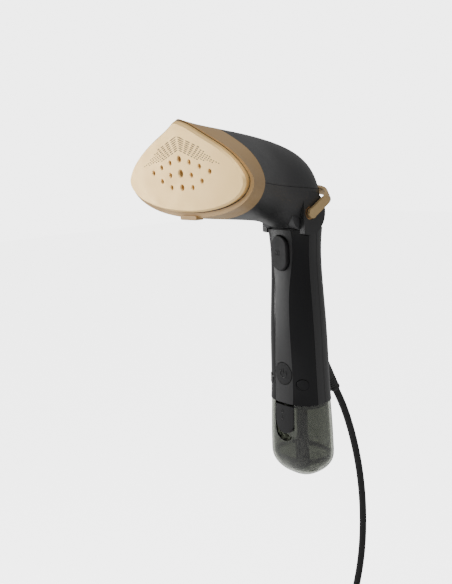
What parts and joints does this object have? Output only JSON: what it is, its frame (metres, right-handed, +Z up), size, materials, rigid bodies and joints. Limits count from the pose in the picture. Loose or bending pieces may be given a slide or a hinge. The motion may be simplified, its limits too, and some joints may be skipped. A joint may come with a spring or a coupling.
{
  "type": "garment steamer",
  "caption": "Hand-held garment steamer: tilting iron-shaped head with vented plate, oval grip with trigger, clip-on clear water tank and mains cord.",
  "frame": {"origin": "middle of the hand grip, on the handle's axis", "axes": "+Z up the handle towards the head, -Y to the front where the soleplate and trigger face, +X to the right-hand side seen from the front's back; mirror plane X = 0"},
  "size_m": [0.154, 0.2528, 0.6411],
  "materials": {
    "gold_plate": "satin champagne gold coating on aluminium",
    "steel": "plain steel",
    "cast_aluminium": "as cast",
    "brass_nozzle": "turned",
    "black_silicone": "matt",
    "heat_plastic": "glass-filled, matt",
    "white_ceramic": "matt",
    "gold_lacquer": "matt metallic gold lacquer",
    "satin_black": "satin",
    "gloss_black": "polished",
    "soft_black": "soft satin",
    "gold_lever": "brushed gold lacquer",
    "white_acetal": "smooth",
    "grey_nylon": "moulded",
    "switch_black": "moulded",
    "board_green": "solder mask",
    "pump_white": "moulded",
    "clear_silicone": "translucent",
    "smoky_clear": "smoke-tinted clear plastic, polished",
    "tank_smoke_dark": "welded seam",
    "tank_black": "moulded",
    "flap_black": "satin",
    "boot_rubber": "moulded, satin",
    "cord_black": "extruded PVC, satin",
    "tie_black": "ribbed strap",
    "plug_black": "moulded PVC",
    "plug_nickel": "nickel plated"
  },
  "bodies": {
    "handle": {"front_cover": "satin_black", "rear_cover": "satin_black", "side_panel_left": "gloss_black", "side_panel_right": "gloss_black", "side_rail_left": "satin_black", "side_rail_right": "satin_black", "chassis": "grey_nylon", "detent_sector": "steel", "case_screws": "steel", "hinge_pin_left": "steel", "hinge_pin_right": "steel", "trigger_spring": "steel", "trigger_bridge": "grey_nylon", "microswitch": "switch_black", "control_board": "board_green", "tact_switch": "switch_black", "pump": "pump_white", "intake_hose": "clear_silicone", "steam_hose": "clear_silicone", "tank_socket": "grey_nylon", "tank_seal": "black_silicone", "strain_relief": "boot_rubber", "power_cord": "cord_black", "cord_coil": "cord_black", "cord_tail": "cord_black", "cord_tie": "tie_black", "plug_body": "plug_black", "plug_pins": "plug_nickel"},
    "head": {"soleplate": "gold_plate", "heating_element": "steel", "steam_chamber": "cast_aluminium", "chamber_cover": "cast_aluminium", "steam_inlet": "brass_nozzle", "plate_gasket": "black_silicone", "heat_shield": "heat_plastic", "thermostat": "steel", "thermal_fuse": "white_ceramic", "bezel": "gold_lacquer", "head_upper_casing": "satin_black", "head_lower_casing": "satin_black", "hinge_bush_left": "white_acetal", "hinge_bush_right": "white_acetal"},
    "lever": {"lock_lever": "gold_lever", "lock_bolt": "steel"},
    "trigger": {"steam_trigger": "soft_black"},
    "power_key": {"power_button": "satin_black"},
    "release_left": {"release_button_left": "soft_black"},
    "release_right": {"release_button_right": "soft_black"},
    "tank": {"tank_shell": "smoky_clear", "tank_cap": "tank_black", "tank_valve": "grey_nylon", "tank_ring": "tank_smoke_dark", "suction_tube": "tank_black", "filter_sleeve": "tank_black", "filter_foot": "tank_black"},
    "flap": {"filler_flap": "flap_black", "filler_bung": "black_silicone"}
  },
  "joints": [
    {"name": "head_tilt", "type": "hinge", "parent": "handle", "child": "head", "pos_m": [0, -0.007, 0.078], "axis": [-1, 0, 0], "range_deg": [0, 23.5], "deforming": ["steam_hose"]},
    {"name": "lever_press", "type": "hinge", "parent": "head", "child": "lever", "pos_m": [0, -0.007, 0.078], "axis": [-1, 0, 0], "range_deg": [0, 6], "stiffness_Nm_per_rad": 1.2, "springref_deg": -8.59},
    {"name": "trigger_press", "type": "slide", "parent": "handle", "child": "trigger", "axis": [0, 1, 0], "range_m": [0, 0.0025], "stiffness_N_per_m": 400, "springref_m": -0.002, "deforming": ["trigger_spring"]},
    {"name": "power_press", "type": "slide", "parent": "handle", "child": "power_key", "axis": [0, 1, 0], "range_m": [0, 0.0008], "stiffness_N_per_m": 600, "springref_m": -0.001},
    {"name": "release_left_press", "type": "slide", "parent": "handle", "child": "release_left", "axis": [0.8944, 0.4472, 0], "range_m": [0, 0.0015], "stiffness_N_per_m": 500, "springref_m": -0.001},
    {"name": "release_right_press", "type": "slide", "parent": "handle", "child": "release_right", "axis": [-0.8944, 0.4472, 0], "range_m": [0, 0.0015], "stiffness_N_per_m": 500, "springref_m": -0.001},
    {"name": "tank_release", "type": "slide", "parent": "handle", "child": "tank", "axis": [0, 0, -1], "range_m": [0, 0.085]},
    {"name": "flap_open", "type": "hinge", "parent": "tank", "child": "flap", "pos_m": [0, -0.0194, -0.0939], "axis": [-1, 0, 0], "range_deg": [0, 75]}
  ]
}
